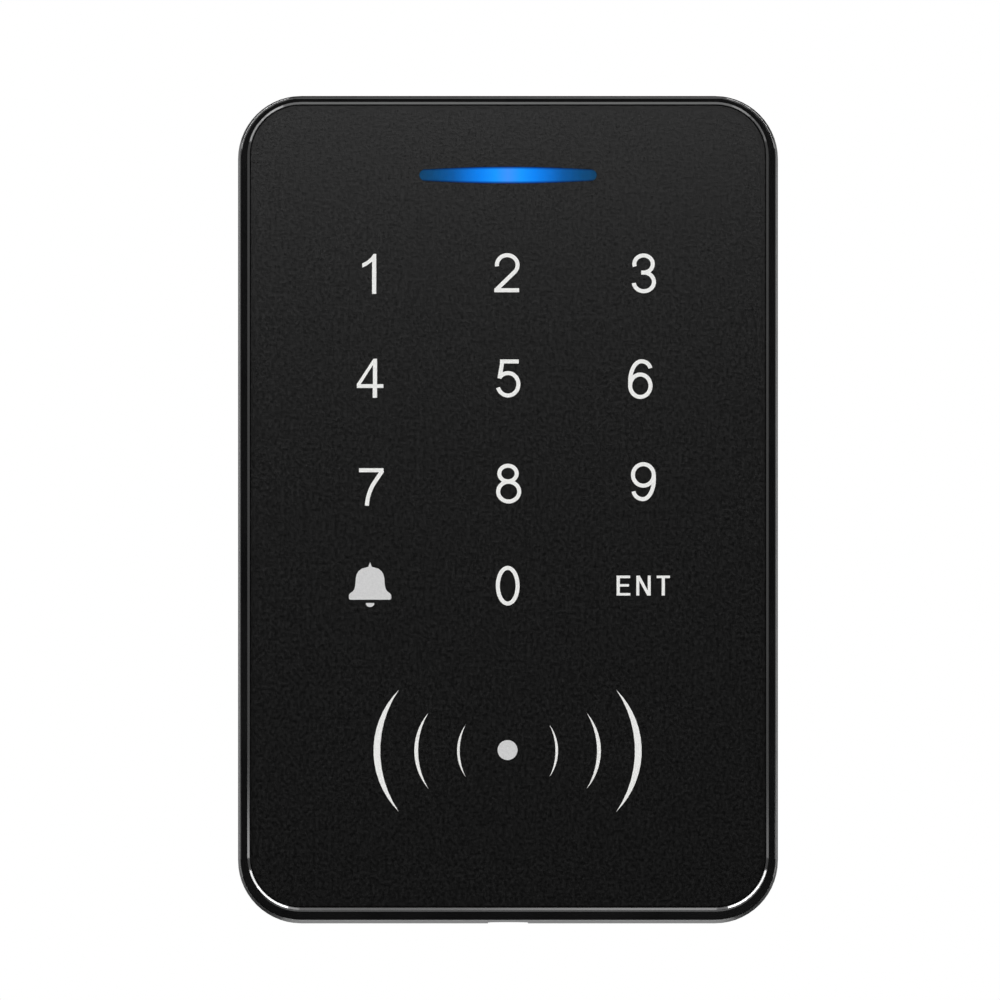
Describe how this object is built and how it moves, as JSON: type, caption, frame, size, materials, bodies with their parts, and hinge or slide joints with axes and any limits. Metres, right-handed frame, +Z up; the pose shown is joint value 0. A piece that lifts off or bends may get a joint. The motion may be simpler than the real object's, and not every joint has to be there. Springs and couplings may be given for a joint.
{
  "type": "rfid card reader",
  "caption": "Flat wall-mounted proximity card reader with a touch keypad, a lit status bar and a glossy rim, hooked over a screwed wall plate.",
  "frame": {"origin": "centre of the wall plate's back face, on the wall", "axes": "+Z up along the long side, +Y into the wall, the touch panel faces -Y"},
  "size_m": [0.077, 0.022, 0.118],
  "materials": {
    "gloss_black": "polished black ABS",
    "panel_black": "satin black acrylic",
    "tape": "black adhesive foam tape",
    "milky_film": "milky film",
    "light_bar": "clear diffusing acrylic, lit blue",
    "white_plastic": "moulded white nylon",
    "conductive_foam": "soft conductive foam",
    "lamp": "LED package",
    "copper": "enamelled copper wire",
    "circuit_board": "green solder mask over glass-epoxy",
    "zinc_steel": "zinc plated",
    "chip_black": "moulded epoxy",
    "tinned_metal": "tinned",
    "relay_case": "blue moulded case",
    "can_aluminium": "drawn can",
    "ferrite": "ferrite",
    "ceramic_chip": "fired ceramic",
    "gold_pin": "gold flashed",
    "jumper_blue": "moulded blue nylon",
    "spring_steel": "spring wire",
    "matt_black": "finely textured black ABS",
    "seal_rubber": "soft moulded rubber",
    "plunger_white": "moulded acetal",
    "brass": "turned brass",
    "dark_steel": "black zinc"
  },
  "bodies": {
    "wall_bracket": {"wall_plate": "matt_black", "bracket_insert": "brass", "security_screw": "dark_steel"},
    "reader_head": {"front_frame": "gloss_black", "touch_panel": "panel_black", "panel_tape": "tape", "diffuser_film": "milky_film", "light_bar": "light_bar", "light_shield": "white_plastic", "touch_pads": "conductive_foam", "key_leds": "lamp", "status_leds": "lamp", "antenna_coil": "copper", "main_board": "circuit_board", "board_screws": "zinc_steel", "controller_chip": "chip_black", "reader_chip": "chip_black", "memory_chip": "chip_black", "chip_leads": "tinned_metal", "lock_relay": "relay_case", "buzzer": "chip_black", "power_capacitors": "can_aluminium", "voltage_regulator": "chip_black", "power_inductor": "ferrite", "crystal": "tinned_metal", "protection_diodes": "chip_black", "small_passives": "ceramic_chip", "wire_header": "white_plastic", "header_pins": "tinned_metal", "jumper_pins": "gold_pin", "jumper_base": "chip_black", "reset_jumper": "jumper_blue", "tamper_switch": "chip_black", "tamper_spring": "spring_steel", "back_cover": "matt_black", "cover_gasket": "seal_rubber", "cover_screws": "zinc_steel", "cable_grommet": "seal_rubber"},
    "plunger": {"tamper_plunger": "plunger_white"}
  },
  "joints": [
    {"name": "head_tilt", "type": "hinge", "parent": "wall_bracket", "child": "reader_head", "pos_m": [0, -0.0046, 0.057], "axis": [-1, 0, 0], "range_deg": [0, 25]},
    {"name": "tamper_press", "type": "slide", "parent": "reader_head", "child": "plunger", "axis": [0, -1, 0], "range_m": [0, 0.0012], "stiffness_N_per_m": 300, "springref_m": -0.0005, "deforming": ["tamper_spring"]}
  ]
}
